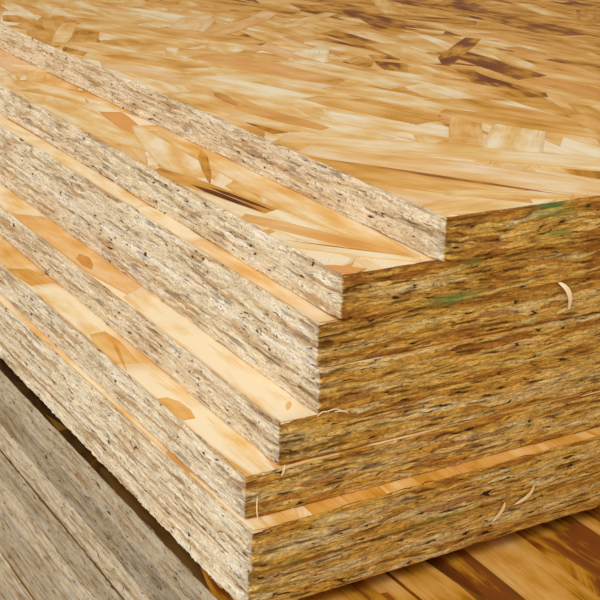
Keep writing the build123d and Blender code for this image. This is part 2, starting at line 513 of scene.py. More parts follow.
def board_shell(place, seed, grid, recess, marks, torn=0.0, grime=0.0, lip_tone=0.35):
    """The board's closed skin: a band of rows round the outline, a narrow lip turned in over the top arris,
    and a flat face above and below. torn is how deep the near side's under arris is torn, lip_tone the tone of
    the near edges' uppermost layer, and marks holds rows such as those in MARKS."""
    first, growth, rows = grid
    base, out, gone, steps = outline(place, first, growth)
    thickness = place["thickness"]
    # The heights of the rows, closer together at both arrises.
    up = np.concatenate([[0.0, 0.3], np.linspace(0.9, thickness - 0.9, rows), [thickness - 0.3, thickness]])
    from_corner = base.sum(axis=1)[:, None]
    depth = edge_depth(gone[:, None], up, steps[:, None], seed, from_corner)
    sunk = np.clip(depth / WHOLLY_SUNK, 0, 1)
    top_chip = arris_chips(gone, seed + 10, 0.55)
    low_chip = arris_chips(gone, seed + 20, 0.45)
    on_near_end, on_near_side = (out < -0.9).T
    if torn:
        # Lengths of the waves in the torn arris, in millimetres, and their shares of its depth.
        waves = ((8.5, 0.30), (2.6, 0.34), (1.15, 0.46))
        ragged = 0.42 + sum(share * lattice_noise(gone / size, 0.0, seed + 30) for size, share in waves)
        low_chip = np.where(on_near_side, low_chip + torn * np.clip(ragged, 0, 1.5), low_chip)
    depth = depth + np.clip(top_chip[:, None] - (thickness - up), 0, None)
    depth = depth + np.clip(low_chip[:, None] - up, 0, None)
    painted, toned_and_shaded = np.zeros(depth.shape), np.zeros(depth.shape)
    for on_end, away, height, half_away, half_height, paint, tone, dent in marks:
        along, here = (base[:, 1], on_near_end) if on_end else (base[:, 0], on_near_side)
        near = ((along[:, None] - away) / half_away) ** 2
        share = here[:, None] * np.exp(-near - ((up - height) / half_height) ** 2)
        painted, toned_and_shaded, depth = np.maximum(painted, paint * share), toned_and_shaded + tone * share, depth + dent * share
        sunk = np.clip(sunk + 0.8 * dent * share, 0, 1)
    lip = depth[:, -1] + 0.25 + 0.5 * np.clip(lattice_noise(gone / 5.0, 0.0, seed + 40), 0, 1)
    depth = np.concatenate([depth, lip[:, None], lip[:, None]], axis=1)
    # Near an upright corner no point goes in past the corner's own middle line, so that the skin can't fold.
    margins = np.stack([base[:, 0], base[:, 1], place["length"] - base[:, 0], place["width"] - base[:, 1]])
    room = np.maximum(np.sort(margins, axis=0)[1], CORNER_WEAR)
    depth = np.minimum(depth, 0.97 * room[:, None])
    up = np.concatenate([up, [thickness, thickness - recess]])
    sunk, painted, toned_and_shaded = (np.concatenate([a, a[:, -1:], a[:, -1:]], axis=1) for a in (sunk, painted, toned_and_shaded))

    inside = base[:, None, :] - out[:, None, :] * depth[:, :, None]
    inside = inside + corner_loss(up, from_corner, thickness, seed)[:, :, None]
    points = to_frame(place, inside[..., 0], inside[..., 1], np.broadcast_to(up, depth.shape))
    index = np.arange(depth.size).reshape(depth.shape)
    after = np.roll(index, -1, axis=0)
    quads = np.stack([index[:, :-1], after[:, :-1], after[:, 1:], index[:, 1:]], axis=-1)
    # The band's last column of faces meets its first, so there the map runs on instead of back to nought.
    runs_on = np.zeros(quads[:, :-1].shape)
    runs_on[-1, :, 1:3] = (gone[-1] + steps[-1]) * MM

    # The map climbs with the depth as well, so that it isn't stretched where the edge turns in, and each board has
    # its own stretch of the pattern.
    grain = np.stack(np.broadcast_arrays(gone[:, None], up + depth * 0.7), axis=-1) * MM
    # Within 400 mm of the near corner the uppermost layer, 1 to 2 mm thick, has a tone of its own.
    fuzz = 1.6 + 0.8 * lattice_noise(gone / 14.0, 0.0, seed + 50)
    in_lip = np.clip((up - thickness + fuzz[:, None]) / 0.5, 0, 1) * (from_corner < 400)
    return {
        "points": points.reshape(-1, 3),
        "faces": [
            (SAWN, quads[:, :-1].reshape(-1, 4)),
            (PRESSED, quads[:, -1]),
            (PRESSED, index[None, :, -1]),
            (PRESSED, index[None, ::-1, 0]),
        ],
        "grain": (grain + np.array([0.0, 0.0371 * seed])).reshape(-1, 2),
        "runs_on": runs_on.ravel(),
        "tone": np.clip(0.45 + (lip_tone - 0.45) * in_lip + toned_and_shaded, 0, 1).ravel(),
        "place": np.broadcast_to(up[:, None] / thickness * [0.0, 0.0, 1.0], (*depth.shape, 3)).reshape(-1, 3),
        "end_cut": np.repeat(np.abs(out[:, 0]), depth.shape[1]),
        "paint": painted.ravel(),
        "grime": np.full(depth.size, grime),
        "sunk": sunk.ravel(),
        "top_chip": top_chip,
        "gone": gone,
    }


def strand_meshes(place, strands):
    """Thin closed slabs, one for each strand: a straight strip of four stations, narrowed at its ends. Where it
    crosses the board's rim its rails are cut short, a strand that runs along the rim is trimmed straight, and
    one that would fold over is left out. strands holds one array for each of their sizes."""
    thickness = place["thickness"]
    size = {key: values[:, None, None] for key, values in strands.items() if values.ndim == 1}
    half, sides = size["length"] / 2, np.array([-1.0, 1.0])
    cos, sin = np.cos(size["angle"]), np.sin(size["angle"])
    direction, aside = np.stack([cos, sin], axis=-1), np.stack([-sin, cos], axis=-1)
    offset = size["width"] / 2 * strands["taper"][:, :, None] * sides
    slant = size["skew"] * offset * np.array([1.0, 0.0, 0.0, 1.0])[:, None]
    run = half * np.array(STATIONS)[:, None] + np.clip(slant, -0.4 * half, 0.4 * half)

    start = np.stack([size["back"], size["across"]], axis=-1) + aside * offset[..., None]
    low = np.stack([size["set_back_end"], size["set_back_side"]], axis=-1)
    high = np.array([place["length"], place["width"]]) - 0.3
    heading = np.where(np.abs(direction) < 1e-6, 1e-6, direction)
    to_low, to_high = (low - start) / heading, (high - start) / heading
    # A strand within 20 degrees of the side is trimmed along it.
    trimmed = np.stack([np.zeros(half.shape, bool), np.abs(sin) < 0.35], axis=-1)
    first = np.where(trimmed, -1e6, np.minimum(to_low, to_high)).max(-1)
    last = np.where(trimmed, 1e6, np.maximum(to_low, to_high)).min(-1)
    inside = np.minimum(last, half) > np.maximum(first, -half)
    run = np.maximum.accumulate(np.where(inside, np.clip(run, first, last), run), axis=1)
    flat = np.clip(start + direction * run[..., None], low, high)

    one, two, three, four = flat[:, :-1, 0], flat[:, :-1, 1], flat[:, 1:, 1], flat[:, 1:, 0]
    twist = np.stack([np.cross(two - one, three - one), np.cross(three - one, four - one)])
    good = (twist < 1e-6).all(axis=(0, 2))
    size = {key: values[good] for key, values in size.items()}
    flat, run, offset, half = flat[good], run[good], offset[good], half[good]

    tilt = size["tilt_along"] * run / half + size["tilt_aside"] * sides
    top = np.minimum(thickness - size["drop"] + tilt, thickness - size["lid"])
    bottom = np.full(top.shape, thickness - SLAB_DEPTH)
    points = np.stack([to_frame(place, flat[..., 0], flat[..., 1], level) for level in (top, bottom)], axis=1)

    # Corner numbers within one strand: level, station and rail, with the top level first.
    t, b = np.arange(16).reshape(2, 4, 2)
    upper = [[t[i, 0], t[i, 1], t[i + 1, 1], t[i + 1, 0]] for i in range(3)]
    lower = [[b[i, 0], b[i + 1, 0], b[i + 1, 1], b[i, 1]] for i in range(3)]
    left = [[t[i, 0], t[i + 1, 0], b[i + 1, 0], b[i, 0]] for i in range(3)]
    right = [[t[i, 1], b[i, 1], b[i + 1, 1], t[i + 1, 1]] for i in range(3)]
    ends = [[t[0, 0], b[0, 0], b[0, 1], t[0, 1]], [t[3, 0], t[3, 1], b[3, 1], b[3, 0]]]
    pattern = np.array(upper + lower + left + right + ends)
    faces = (np.arange(len(half))[:, None, None] * 16 + pattern).reshape(-1, 4)

    grain = np.stack([run, np.broadcast_to(offset, run.shape)], axis=-1)
    grain = (grain + strands["grain_start"][good][:, None, None, :]) * MM
    middle = np.stack([np.broadcast_to(sides, run.shape), run / half, np.zeros(run.shape)], axis=-1)
    return {
        "points": points.reshape(-1, 3),
        "faces": [(PRESSED, faces)],
        "grain": np.stack([grain, grain], axis=1).reshape(-1, 2),
        "place": np.stack([middle, middle], axis=1).reshape(-1, 3),
        **{key: np.repeat(strands[key][good], 16) for key in ("tone", "blush", "grime")},
    }


def tapers(rng, count, first, third, last):
    """Each strand's share of its full width at its four stations, of which the second has all of it."""
    shares = [rng.uniform(low, 1, count) for low in (first, third, last)]
    return np.stack([shares[0], np.ones(count), *shares[1:]], axis=1)


def scattered_strands(place, rng, look, tone_and_shade_shift, grime_over):
    """Strands laid all over a face: a jittered running bond that leaves no gap, then a looser layer on top."""
    length, width = place["length"], place["width"]
    strand_length, strand_width = look.strand_length / MM, look.strand_width / MM
    # The bond's pitch is shorter and narrower than a strand, so that it leaves no gap.
    pitch_back, pitch_across = strand_length * 0.72, strand_width * 0.62
    columns, rows = int(length / pitch_back) + 2, int(width / pitch_across) + 2
    column, row = np.meshgrid(np.arange(columns), np.arange(rows), indexing="ij")
    back = ((column + 0.5 * (row % 2)) * pitch_back).ravel()
    across = (row * pitch_across).ravel()
    under = len(back)
    over = int(under * LOOSE_SHARE)
    count = under + over
    is_over = np.arange(count) >= under
    back = np.concatenate([back, rng.uniform(0, length, over)])
    across = np.concatenate([across, rng.uniform(0, width, over)])
    back = back + rng.normal(0, 9, count)
    across = across + rng.normal(0, 3, count)
    # One strand in ten is of darker wood, and one in seven has a clear blush.
    tone = np.clip(rng.normal(0.66, 0.17, count), 0.05, 1.0)
    tone = np.where(rng.uniform(size=count) < 0.10, rng.uniform(0.2, 0.45, count), tone)
    tone = np.clip(tone + tone_and_shade_shift(back, across), 0.06, 1.0)
    blush = np.where(rng.uniform(size=count) < 0.14, rng.uniform(0.15, 0.55, count), rng.uniform(0, 0.06, count))
    scale = rng.uniform(0.7, 1.3, count)
    taper = tapers(rng, count, 0.35, 0.86, 0.35)
    step = look.step_height / MM
    return {
        "back": back,
        "across": across,
        "angle": np.radians(rng.normal(0, 1, count) * np.where(is_over, 27.0, 13.0)),
        "length": strand_length * scale * np.where(is_over, 0.9, 1.25),
        "width": strand_width * rng.uniform(0.6, 1.35, count) * np.where(is_over, 0.85, 1.3),
        "taper": taper,
        "skew": rng.normal(0, 0.5, count),
        "drop": 0.10 + step * np.where(is_over, rng.uniform(0, 0.5, count), rng.uniform(0.5, 1.0, count)),
        "tilt_along": rng.normal(0, 0.05, count),
        "tilt_aside": rng.normal(0, 0.035, count),
        "tone": tone,
        "blush": blush,
        "grain_start": rng.uniform(0, 4000, (count, 2)),
        "grime": grime_over(back, across),
        "lid": rng.uniform(0.10, 0.15, count),
    }


# Strands that show near the corner, by board, the lowest first: both ends of the middle line as back and across, the
# width, the tone from heartwood at 0 to cream at 1, and the blush. Slivers under 8 mm wide run out to points.
STRANDS = {
    "upper_board_8": (
        (520, 60, 400, 90, 34, 0.62, 0.05),
        (480, 95, 395, 135, 30, 0.45, 0.1),
        (440, 20, 330, 48, 30, 0.66, 0.05),
        (385, 30, 325, 52, 26, 0.42, 0.1),
        (365, 78, 262, 108, 28, 0.52, 0.55),
        (300, 40, 190, 72, 30, 0.8, 0),
        (330, 118, 230, 140, 30, 0.72, 0),
        (260, 10, 150, 26, 26, 0.6, 0.08),
        (222, 72, 145, 96, 24, 0.45, 0.05),
        (240, 105, 130, 132, 28, 0.7, 0),
        (200, 20, 118, 52, 30, 0.78, 0),
        (190, 140, 70, 170, 28, 0.4, 0.05),
        (165, 118, 84, 160, 22, 0.42, 0.05),
        (130, 185, 30, 150, 26, 0.38, 0.15),
        (12, -6, 7, 74, 24, 0.74, 0),
        (88, -4, 12, 50, 30, 0.46, 0),
        (30, 22, 5, 66, 13, 0.72, 0),
        (126, 4, -12, 96, 32, 0.76, 0.22),
        (143, 10, 22, 136, 27, 0.77, 0),
        (107, -1, 7, 65, 5, 0.1, 0.2),
        (254, 30, 215, 24, 7.5, 0.12, 0.35),
        (214, 24, 150, 38, 15, 0.4, 0.45),
    ),
    "upper_board_7": (
        (345, 8, 205, 20, 28, 0.74, 0),
        (302, 33, 244, 25, 13, 0.24, 0.85),
        (262, 38, 150, 12, 24, 0.8, 0.05),
        (246, 44, 10, 32, 24, 0.69, 0.06),
        (128, 4, 16, 24, 22, 0.86, 0),
        (200, 40, 139, 15, 5, 0.3, 0.1),
        (172, 2, 86, 18, 12, 0.3, 0.25),
        (140, 6, 88, 14, 4.5, -0.22, 0),
        (132, 11.5, 86, 19, 3.6, -0.18, 0),
        (88, 2, 12, 33, 11, 0.5, 0.45),
        (47, -2, 3, 37, 9, 0.94, 0),
        (47, 3, 9, 37, 1.4, 0.1, 0),
        (13, -2, 1, 11, 8, 0.26, 0.85),
    ),
    "upper_board_6": (
        (160, 4, -4, 5, 12, 0.8, 0.18),
        (420, 4, 150, 5, 14, 0.88, 0),
        (174, 5, 112, 5, 13, 1, 0),
    ),
    "upper_board_4": (
        (400, 6, 270, 10, 24, 0.84, 0.05),
        (300, 8, 150, 12, 20, 0.66, 0.32),
        (222, 9, 196, 5, 7, 0.28, 0.55),
        (160, 14, -6, 8, 22, 1, 0),
        (16, 14, 9, 9, 2.2, 0.46, 0),
    ),
    "upper_board_3": (
        (420, 9, 250, 8, 20, 0.62, 0.05),
        (266, 6, 226, 10, 12, 0.44, 0.1),
        (236, 10, 150, 8, 20, 0.92, 0),
        (160, 8, 112, 4, 13, 0.56, 0),
        (118, 7, -6, 9, 22, 1, 0),
        (152, 12, 112, 2, 1.8, 0.3, 0.35),
        (79, 2.5, 55, 4.5, 11, 0.52, 0.1),
        (2, 54, 2.4, 104, 8, 0.8, 0),
        (2.4, 100, 3, 172, 8, 0.58, 0),
    ),
    "upper_board_2": (
        (90, 10, -2, 14, 34, 0.7, 0),
        (70, 38, -2, 36, 18, 0.5, 0),
        (80, 56, -2, 53, 20, 0.38, 0),
        (80, 72, -2, 71, 16, 0.54, 0),
        (80, 92, -2, 88, 22, 0.37, 0),
        (80, 112, -2, 112, 20, 0.43, 0),
        (80, 134, -2, 130, 24, 0.56, 0),
        (80, 156, -2, 156, 22, 0.35, 0),
        (80, 178, -2, 180, 24, 0.44, 0),
        (460, 4, 200, 4, 10, 0.78, 0.1),
        (206, 4, 74, 4, 10, 0.84, 0.05),
        (76, 3, 51, 2, 9, 0.24, 0.55),
        (53, 4, -2, 4, 10, 0.8, 0.05),
    ),
    # These strands are listed dark, partly for their own tone and partly as painted shade from the upper pack over
    # them.
    "lower_board_12": (
        (96, 20, -4, 16, 30, 0.1, 0.05),
        (130, 44, -4, 50, 28, 0.16, 0.05),
        (150, 76, -4, 80, 30, 0.26, 0),
        (170, 108, -4, 100, 24, -0.1, 0.05),
        (170, 130, -4, 120, 30, 0.34, 0),
        (170, 158, -4, 160, 30, -0.06, 0.05),
        (170, 188, -4, 184, 30, 0.24, 0.05),
        (170, 216, -4, 214, 30, 0.06, 0.05),
        (110, 94, 52, 95, 7.9, -0.25, 0),
        (110, 71, 20, 72, 1.8, -0.2, 0),
    ),
}


def laid_by_hand(rows, rng, grime_over):
    """Strands from a list such as those in STRANDS, as whole arrays."""
    rows = np.array(rows, float)
    count = len(rows)
    start, reach = rows[:, 0:2], rows[:, 2:4] - rows[:, 0:2]
    middle = (start + rows[:, 2:4]) / 2
    sliver = rows[:, 4] < 8
    taper = np.where(sliver[:, None], [0.08, 1.0, 0.8, 0.08], tapers(rng, count, 0.5, 0.9, 0.4))
    return {
        "back": middle[:, 0],
        "across": middle[:, 1],
        "angle": np.arctan2(reach[:, 1], reach[:, 0]),
        "length": np.linalg.norm(reach, axis=1),
        "width": rows[:, 4],
        "taper": taper,
        "skew": np.where(sliver, 0.0, rng.normal(0, 0.4, count)),
        "drop": np.linspace(0.10, 0.03, count),
        "tilt_along": np.zeros(count),
        "tilt_aside": np.zeros(count),
        "tone": rows[:, 5],
        "blush": rows[:, 6],
        "grain_start": rng.uniform(0, 4000, (count, 2)),
        "grime": grime_over(start[:, 0], start[:, 1]),
        "lid": np.full(count, 0.02),
    }


def set_back(place, strands, shell):
    """Breaks each strand off behind the deepest chip of the top arris that it crosses."""
    length, width = place["length"], place["width"]
    reach, probes = strands["length"] / 2, np.linspace(-1, 1, 9)
    back = strands["back"][:, None] + probes * (reach * np.abs(np.cos(strands["angle"])))[:, None]
    across = strands["across"][:, None] + probes * (reach * np.abs(np.sin(strands["angle"])))[:, None]
    side = np.interp(length - np.clip(back, 0, length), shell["gone"], shell["top_chip"])
    end = np.interp(length + np.clip(across, 0, width), shell["gone"], shell["top_chip"])
    strands["set_back_side"] = 0.25 + side.max(1)
    strands["set_back_end"] = 0.25 + end.max(1)


def only_bare(place, strands, above):
    """The strands that the board above doesn't cover from end to end."""
    if above is None:
        return strands
    cos, sin = np.cos(strands["angle"]), np.sin(strands["angle"])
    reach, wide = strands["length"] / 2, strands["width"] / 2
    bare = np.zeros(len(reach), bool)
    for along, aside in ((-1, -1), (-1, 1), (1, -1), (1, 1)):
        back = strands["back"] + along * (cos * reach) - aside * (sin * wide)
        across = strands["across"] + along * (sin * reach) + aside * (cos * wide)
        back, across = np.clip(back, 0, place["length"]), np.clip(across, 0, place["width"])
        back, across = from_frame(above, to_frame(place, back, across, np.zeros(len(back))))
        bare |= (back < 0) | (across < 0) | (back > above["length"]) | (across > above["width"])
    return {key: values[bare] for key, values in strands.items()}


def build_mesh(name, parts, materials):
    """One mesh from whole arrays: points, face corners, grain map and point attributes, nought where not given."""
    starts = np.cumsum([0] + [len(part["points"]) for part in parts])
    groups = [(slot, faces + start) for part, start in zip(parts, starts) for slot, faces in part["faces"]]
    points = np.concatenate([part["points"] for part in parts])
    corners = np.concatenate([faces.ravel() for slot, faces in groups])
    sizes = np.concatenate([np.full(len(faces), faces.shape[1]) for slot, faces in groups])
    finish = np.concatenate([np.full(len(faces), slot) for slot, faces in groups])

    mesh = bpy.data.meshes.new(name)
    mesh.vertices.add(len(points))
    mesh.vertices.foreach_set("co", points.astype(np.float32).ravel())
    mesh.loops.add(len(corners))
    mesh.loops.foreach_set("vertex_index", corners.astype(np.int32))
    mesh.polygons.add(len(sizes))
    mesh.polygons.foreach_set("loop_start", (np.cumsum(sizes) - sizes).astype(np.int32))
    mesh.polygons.foreach_set("material_index", finish.astype(np.int32))
    mesh.polygons.foreach_set("use_smooth", finish == SAWN)
    mesh.update(calc_edges=True)

    grain = np.concatenate([part["grain"] for part in parts])[corners]
    runs_on = parts[0].get("runs_on", np.zeros(0))
    grain[: runs_on.size, 0] += runs_on
    mesh.uv_layers.new(name="grain").data.foreach_set("uv", grain.astype(np.float32).ravel())
    scalars = [(name, "FLOAT", "value", ()) for name in ("tone", "blush", "end_cut", "paint", "grime", "sunk")]
    for attribute, kind, field, size in (*scalars, ("place", "FLOAT_VECTOR", "vector", (3,))):
        values = [part.get(attribute, np.zeros((len(part["points"]), *size))) for part in parts]
        values = np.concatenate(values).astype(np.float32).ravel()
        mesh.attributes.new(attribute, kind, "POINT").data.foreach_set(field, values)
    for material in materials:
        mesh.materials.append(material)
    thing = bpy.data.objects.new(name, mesh)
    bpy.context.scene.collection.objects.link(thing)
    return thing


# How much darker and greyer the sides of the lower pack are, board by board from the floor up.
LOWER_DARKENING = (0.5, 0.6, 0.5, 0.7, 0.6, 0.8, 0.75, 0.55, 0.8, 0.5, 0.95, 0.7)

# Marks on single boards: True on the near end or False on the near side, the distance from the near corner, the
# height, half the length, half the height, the strength of green paint, the shift of tone and the dent in mm.
MARKS = {
    "upper_board_8": (
        # Painted shade: the whole near end a little darker.
        (True, 150, 9, 700, 60, 0, -0.22, 0),
        (True, 51.5, 17.3, 8, 1.8, 1, 0, 0),
        (True, 53, 13.6, 14, 1.5, 0.55, 0, 0),
        (True, 57, 5, 7, 1.6, 0.7, 0, 0),
        (True, 30, 9.4, 5, 0.5, 0, -0.4, 0.9),
        (True, 12, 14.2, 10, 0.5, 0, -0.3, 0.6),
        (False, 19.5, 17.2, 5, 0.5, 0, -0.5, 0.7),
        (False, 14, 9, 9, 0.5, 0, -0.4, 0.7),
    ),
    "upper_board_7": (
        # Painted shade: the whole near end a little darker.
        (True, 150, 9, 700, 60, 0, -0.2, 0),
        (True, 59.5, 15, 5, 1.2, 0.6, 0, 0),
        (True, 52, 1.4, 13, 2, 0.8, 0.15, 0),
        (True, 9, 13, 9, 0.7, 0, 0.4, 0),
        (True, 6, 11.2, 6, 0.5, 0, -0.4, 0.8),
    ),
    "upper_board_6": (
        # Painted shade: the whole near end a little darker.
        (True, 150, 9, 700, 60, 0, -0.14, 0),
        (True, 60, 17.6, 13, 1.4, 0.7, 0.1, 0),
        (True, 102, 2, 7, 2.2, 0.12, 0.4, 0),
        (True, 5, 9.5, 2.6, 0.9, 0, -0.6, 1.6),
        (True, 21.5, 13, 6.5, 0.7, 0, -0.5, 1.4),
    ),
    "upper_board_5": (
        # Painted shade: the whole near end a little darker.
        (True, 150, 9, 700, 60, 0, -0.12, 0),
        (True, 12, 17, 14, 1.3, 0, 0.45, 0),
        (True, 34, 11, 5, 0.6, 0, -0.5, 1.2),
        (False, 45, 9, 12, 0.5, 0, -0.4, 0.8),
    ),
    "upper_board_4": (
        (True, 70, 9, 45, 1.8, 0, 0.3, 0),
        (True, 22, 5, 6, 0.6, 0, -0.4, 1),
    ),
    "upper_board_3": (
        (True, 30, 17.4, 16, 0.9, 0, 0.5, 0),
        (True, 34, 10.6, 34, 2.2, 0, 0.35, 0),
        (True, 19, 7, 3, 0.5, 0, -0.5, 1.2),
        (True, 40, 12.6, 8, 0.6, 0, -0.5, 0.8),
    ),
    "upper_board_2": (
        (True, 19, 0.5, 5, 1, 0.5, 0, 0),
        (True, 86, 0.6, 18, 1, 0.45, 0, 0),
        (True, 60, 8, 50, 1.6, 0, 0.25, 0),
        (False, 60, 3, 22, 0.5, 0, -0.5, 0.9),
    ),
    "upper_board_1": (
        (True, 20, 17.6, 6, 1.1, 0.7, 0, 0),
        (True, 86, 17.5, 18, 1, 0.55, 0, 0),
        (True, 60, 8, 40, 2.4, 0, 0.3, 0),
        (False, 260, 9.5, 230, 0.45, 0, -0.6, 1.1),
    ),
}

TORN = {"upper_board_1": 1.5}  # how deep the near side's under arris is torn, in millimetres
LIP_TONES = {"upper_board_5": 1.0}  # its uppermost layer is the palest wood


def none_over(back, across):
    """No change over the face."""
    return np.zeros(len(back))


def top_painted_shade(back, across):
    """Painted shade: the top face turns slowly, in uneven patches, to darker strands away from the near side and the
    near corner, for the shade over its far part.
    """
    away = across + 0.20 * np.maximum(back - 500, 0) + 60 * lattice_noise(back / 230, across / 150, 78)
    return -0.04 - 0.39 * np.clip((away - 110) / 250, 0, 1)


def ledge_tone_and_end_shade(back, across):
    """The boards under the top one are a little paler than it, having seen less light. Along their ends their strands
    are darker instead, as painted shade on the shaded end side.
    """
    return 0.11 - 0.40 * np.clip((40 - back) / 20, 0, 1) * np.clip((across - 30) / 20, 0, 1)


def lower_top_tone_and_shade(back, across):
    """The lower pack's top is darker than the other faces, partly the strands' own darker tone and partly painted
    shade from the upper pack over it, in patches about a hand wide.
    """
    return -0.56 + 0.24 * lattice_noise(back / 90, across / 60, 77)


def slit_grime(back, across):
    """Painted shade on the lower pack's top: a little all over, under the upper pack, and dark along the near side,
    in the slit under the upper pack.
    """
    return 0.16 + 0.76 * np.clip((45 - across) / 20, 0, 1) * np.clip((back - 140) / 30, 0, 1)


def shared_material(name, make, *settings):
    """A material by its name, made once."""
    return bpy.data.materials.get(name) or make(*settings)


def board_materials(scene):
    """The finishes of a board, in the order of its material slots: sawn edge, pressed face."""
    return [
        shared_material("sawn_strand_edge", sawn_edge_material, scene.sawn_edge),
        shared_material("pressed_strand_face", pressed_face_material, scene.pressed_face),
    ]


def dress_board(scene, node, above, seed, grid, tone_and_shade_shift, grime_over, **wear):
    """Builds the mesh that stands for one board. Its top is laid with strands where it shows."""
    place = board_place(node)
    shows = grid == FINE_GRID or above is not None
    parts = [board_shell(place, seed, grid, 0.55 if shows else 0.04, MARKS.get(node, ()), **wear)]
    if shows:
        rng = np.random.RandomState(seed + STRAND_SEED)
        strands = scattered_strands(place, rng, scene.pressed_face, tone_and_shade_shift, grime_over)
        if node in STRANDS:
            by_hand = laid_by_hand(STRANDS[node], rng, grime_over)
            strands = {key: np.concatenate([strands[key], by_hand[key]]) for key in strands}
        strands = only_bare(place, strands, above)
        set_back(place, strands, parts[0])
        parts.append(strand_meshes(place, strands))
    thing = build_mesh(node + "_strands", parts, board_materials(scene))
    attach(thing, BODY)
    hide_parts(node)


class PILE_OT_lower_pack(bpy.types.Operator):
    """Dresses the boards of the lower pack"""

    bl_idname = "pile.lower_pack"
    bl_label = "Lower pack"

    def execute(self, context):
        for number, node in enumerate(LOWER_BOARDS):
            above = board_place(UPPER_BOARDS[0]) if node == LOWER_BOARDS[-1] else None
            seed, grime = LOWER_SEED + SEED_STEP * number, LOWER_DARKENING[number]
            dress_board(context.scene, node, above, seed, PLAIN_GRID, lower_top_tone_and_shade, slit_grime, grime=grime)
        return {"FINISHED"}


class PILE_OT_upper_pack(bpy.types.Operator):
    """Dresses the boards of the upper pack"""

    bl_idname = "pile.upper_pack"
    bl_label = "Upper pack"

    def execute(self, context):
        for number, node in enumerate(UPPER_BOARDS):
            above, tone_and_shade_shift = None, top_painted_shade
            if node != UPPER_BOARDS[-1]:
                above, tone_and_shade_shift = board_place(UPPER_BOARDS[number + 1]), ledge_tone_and_end_shade
            seed = UPPER_SEED + SEED_STEP * number
            wear = {"torn": TORN.get(node, 0.0), "lip_tone": LIP_TONES.get(node, 0.30)}
            dress_board(context.scene, node, above, seed, FINE_GRID, tone_and_shade_shift, none_over, **wear)
        return {"FINISHED"}


# Fibres and a curled shaving that cling to the near ends: the board, then the start, middle and end of each as
# across, up and out from the end, its width and its tone.
LOOSE_FIBRES = (
    ("upper_board_6", (114.6, 17.8, 0.7), (121.5, 14.5, 4.0), (122.0, 4.6, 1.0), 2.2, 1.0),
    ("upper_board_3", (5.4, 9.6, 0.2), (4.2, 4.0, 1.2), (5.9, -1.6, 0.9), 0.5, 1.0),
    ("upper_board_3", (16.6, 20.0, 0.6), (16.0, 18.0, 1.4), (15.4, 15.6, 0.5), 0.9, 1.0),
    ("upper_board_3", (15.0, 18.3, 0.2), (25.0, 20.2, 0.9), (37.0, 18.6, 0.2), 1.1, 0.75),
    ("upper_board_4", (16.5, 17.6, 0.3), (18.0, 20.6, 1.0), (21.5, 18.6, 0.7), 0.5, 1.0),
    ("upper_board_4", (20.0, 18.6, 0.3), (23.5, 20.4, 1.2), (27.0, 18.4, 0.6), 0.5, 1.0),
    ("upper_board_4", (24.0, 18.0, 0.3), (27.5, 19.0, 1.3), (30.5, 16.2, 0.6), 0.5, 1.0),
    ("upper_board_1", (117.0, 9.4, 0.3), (121.5, 14.0, 1.8), (122.5, 17.2, 0.8), 1.7, 0.9),
    ("upper_board_1", (128.5, 14.6, 0.3), (137.0, 17.2, 1.6), (137.5, 21.6, 1.0), 1.8, 0.9),
)


def ribbon(place, start, middle, end, width, tone):
    """A thin curled strip, pointed at both ends: its path is a quadratic Bezier curve through its three points,
    that is, start times (1 - t) squared, plus middle times 2t (1 - t), plus end times t squared."""
    stations, thick = 17, 0.14
    t = np.linspace(0, 1, stations)[:, None]
    path = np.array(start) * (1 - t) ** 2 + np.array(middle) * 2 * t * (1 - t) + np.array(end) * t**2
    along = np.gradient(path, axis=0)
    along = along / np.linalg.norm(along, axis=1)[:, None]
    aside = np.cross(along, [0.0, 0.0, 1.0])
    aside = aside / np.linalg.norm(aside, axis=1)[:, None]
    over = np.cross(aside, along) * thick
    half = aside * (width / 2 * (0.12 + 0.88 * np.sin(np.pi * t) ** 0.6))
    flat = np.stack([path - half, path + half, path + half + over, path - half + over], 1).reshape(-1, 3)
    index = np.arange(stations * 4).reshape(stations, 4)
    after = np.roll(index, -1, axis=1)
    wall = np.stack([index[:-1], after[:-1], after[1:], index[1:]], axis=-1).reshape(-1, 4)
    grain = np.stack([np.repeat(t[:, 0], 4) * 20, np.tile([0.0, 1.0, 1.0, 0.0], stations) * width], -1) * MM
    return {
        "points": to_frame(place, -flat[:, 2], flat[:, 0], flat[:, 1]),
        "faces": [(PRESSED, np.concatenate([wall, index[:1, ::-1], index[-1:]]))],
        "grain": grain,
        "tone": np.full(len(flat), tone),
    }


class PILE_OT_loose_fibres(bpy.types.Operator):
    """Makes the fibres and the shaving that cling to the near ends"""

    bl_idname = "pile.loose_fibres"
    bl_label = "Loose fibres"

    def execute(self, context):
        strips = [ribbon(board_place(node), *row) for node, *row in LOOSE_FIBRES]
        thing = build_mesh("loose_fibres", strips, board_materials(context.scene))
        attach(thing, BODY)
        return {"FINISHED"}


class PILE_OT_strips(bpy.types.Operator):
    """Gives the strips between the packs their finish"""

    bl_idname = "pile.strips"
    bl_label = "Spacer strips"

    def execute(self, context):
        wood = shared_material("sawn_softwood_strip", sawn_softwood_material)
        for node in STRIPS:
            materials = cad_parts[node].data.materials
            materials.clear()
            materials.append(wood)
        return {"FINISHED"}


# The camera stands close to the near corner, and its long lens is turned down and rolled a little: metres,
# degrees, and the lens in millimetres.
CAMERA_PLACE = (1.50458, -0.81410, 0.50023)
CAMERA_HEADING = 58.37
CAMERA_DOWN = 19.87
CAMERA_ROLL = 1.85
CAMERA_LENS = 77.66
SENSOR_WIDTH = 36.0

